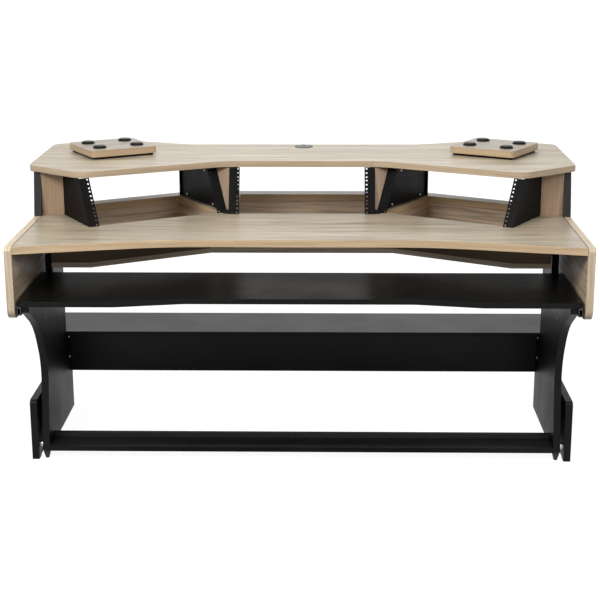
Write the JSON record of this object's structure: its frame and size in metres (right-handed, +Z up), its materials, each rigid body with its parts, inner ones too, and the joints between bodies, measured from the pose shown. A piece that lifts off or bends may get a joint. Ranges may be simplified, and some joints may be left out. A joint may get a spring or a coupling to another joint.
{
  "type": "studio desk",
  "caption": "Wide studio desk with leaning rack bays let through the desktop under a raised shelf, a sliding keyboard tray, loose speaker pads and a black under frame.",
  "frame": {"origin": "centre of the desk's bounding box in plan, on the floor", "axes": "+X to the desk's right as its user sits at it, +Y from the user to the back, +Z up"},
  "size_m": [1.94, 1.1274, 1.0321],
  "materials": {
    "wood": "pale greige wood-grain laminate on board, satin",
    "black_board": "near-black laminate on board, satin",
    "powder_coat": "fine black powder coat",
    "zinc": "bright zinc",
    "slide_steel": "zinc-plated steel strip",
    "black_plastic": "matte black plastic",
    "rubber": "dull black rubber"
  },
  "bodies": {
    "frame": {"desktop": "wood", "top_shelf": "wood", "rack_floor": "wood", "wall_centre_rear": "wood", "back_shelf": "black_board", "modesty_panel": "black_board", "stretcher_board": "black_board", "stretcher_rail": "black_board", "grommet_ring": "black_plastic", "side_panel_right": "wood", "upright_right": "black_board", "filler_right": "wood", "divider_right": "wood", "rack_plate_centre_right": "powder_coat", "rack_plate_right_inner": "powder_coat", "rack_plate_right_outer": "powder_coat", "wall_right_inner": "wood", "wall_right_outer": "wood", "wall_right_rear": "wood", "leg_right": "black_board", "outer_foot_right": "black_board", "foot_spacer_right_front": "zinc", "foot_spacer_right_rear": "zinc", "slide_outer_right": "slide_steel", "side_panel_left": "wood", "upright_left": "black_board", "filler_left": "wood", "divider_left": "wood", "rack_plate_centre_left": "powder_coat", "rack_plate_left_inner": "powder_coat", "rack_plate_left_outer": "powder_coat", "wall_left_inner": "wood", "wall_left_outer": "wood", "wall_left_rear": "wood", "leg_left": "black_board", "outer_foot_left": "black_board", "foot_spacer_left_front": "zinc", "foot_spacer_left_rear": "zinc", "slide_outer_left": "slide_steel"},
    "tray": {"keyboard_tray": "black_board", "slide_inner_left": "slide_steel", "slide_inner_right": "slide_steel"},
    "grommet_cap": {"grommet_cap": "black_plastic"},
    "slide_middle_left": {"slide_middle_left": "slide_steel"},
    "glide_left": {"glide_left": "black_plastic"},
    "pad_left": {"pad_base_left": "rubber", "pad_board_left": "wood", "pad_disc_left_front_outer": "rubber", "pad_disc_left_front_inner": "rubber", "pad_disc_left_rear_outer": "rubber", "pad_disc_left_rear_inner": "rubber"},
    "slide_middle_right": {"slide_middle_right": "slide_steel"},
    "glide_right": {"glide_right": "black_plastic"},
    "pad_right": {"pad_base_right": "rubber", "pad_board_right": "wood", "pad_disc_right_front_outer": "rubber", "pad_disc_right_front_inner": "rubber", "pad_disc_right_rear_outer": "rubber", "pad_disc_right_rear_inner": "rubber"}
  },
  "joints": [
    {"name": "tray_slide", "type": "slide", "parent": "frame", "child": "tray", "axis": [0, -1, 0], "range_m": [0, 0.35]},
    {"name": "grommet_cap_turn", "type": "hinge", "parent": "frame", "child": "grommet_cap", "pos_m": [0, 0.40634, 0.9908], "axis": [0, 0, 1], "continuous": true},
    {"name": "slide_middle_left_travel", "type": "slide", "parent": "frame", "child": "slide_middle_left", "axis": [0, -1, 0], "range_m": [0, 0.175]},
    {"name": "glide_left_thread", "type": "slide", "parent": "frame", "child": "glide_left", "axis": [0, 0, -1], "range_m": [0, 0.01]},
    {"name": "pad_left_lift", "type": "slide", "parent": "frame", "child": "pad_left", "axis": [0, 0, 1], "range_m": [0, 0.15]},
    {"name": "slide_middle_right_travel", "type": "slide", "parent": "frame", "child": "slide_middle_right", "axis": [0, -1, 0], "range_m": [0, 0.175]},
    {"name": "glide_right_thread", "type": "slide", "parent": "frame", "child": "glide_right", "axis": [0, 0, -1], "range_m": [0, 0.01]},
    {"name": "pad_right_lift", "type": "slide", "parent": "frame", "child": "pad_right", "axis": [0, 0, 1], "range_m": [0, 0.15]}
  ],
  "couplings": [
    {"joint": "slide_middle_left_travel", "follows": "tray_slide", "ratio": 0.5},
    {"joint": "slide_middle_right_travel", "follows": "tray_slide", "ratio": 0.5}
  ]
}
